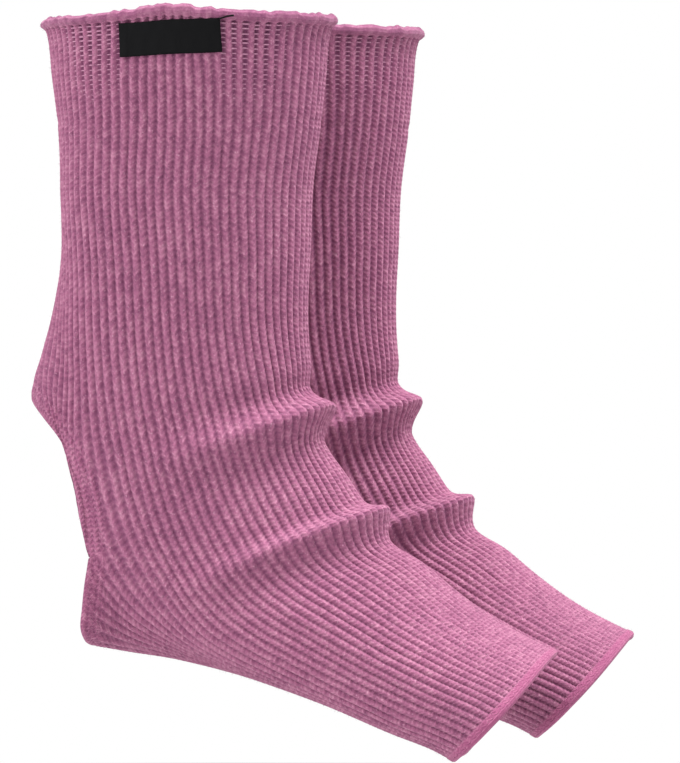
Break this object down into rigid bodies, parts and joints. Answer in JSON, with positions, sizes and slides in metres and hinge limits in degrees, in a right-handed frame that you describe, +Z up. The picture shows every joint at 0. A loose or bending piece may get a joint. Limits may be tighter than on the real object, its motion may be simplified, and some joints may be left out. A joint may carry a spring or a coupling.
{
  "type": "pair of yoga socks",
  "caption": "Ribbed knit yoga socks with open heels and toes, each a hollow tube bent at the ankle, with slouch folds over the instep and a blank woven label on the cuff.",
  "frame": {"origin": "middle of the near sock's hollow at the ankle, where the wearer's ankle holds it", "axes": "+Z up along the leg, toes towards -Y and slightly down, -X the near sock's outer side with the label; the other sock stands at +X"},
  "size_m": [0.1907, 0.1976, 0.2683],
  "materials": {
    "knit": "soft heathered wool-blend rib knit in dusty rose, matt with a faint fuzz",
    "label": "close satin-woven black ribbon, low sheen"
  },
  "bodies": {
    "root": {"near_leg_tube": "knit", "near_foot_tube": "knit", "near_label": "label", "far_leg_tube": "knit", "far_foot_tube": "knit"}
  },
  "joints": []
}
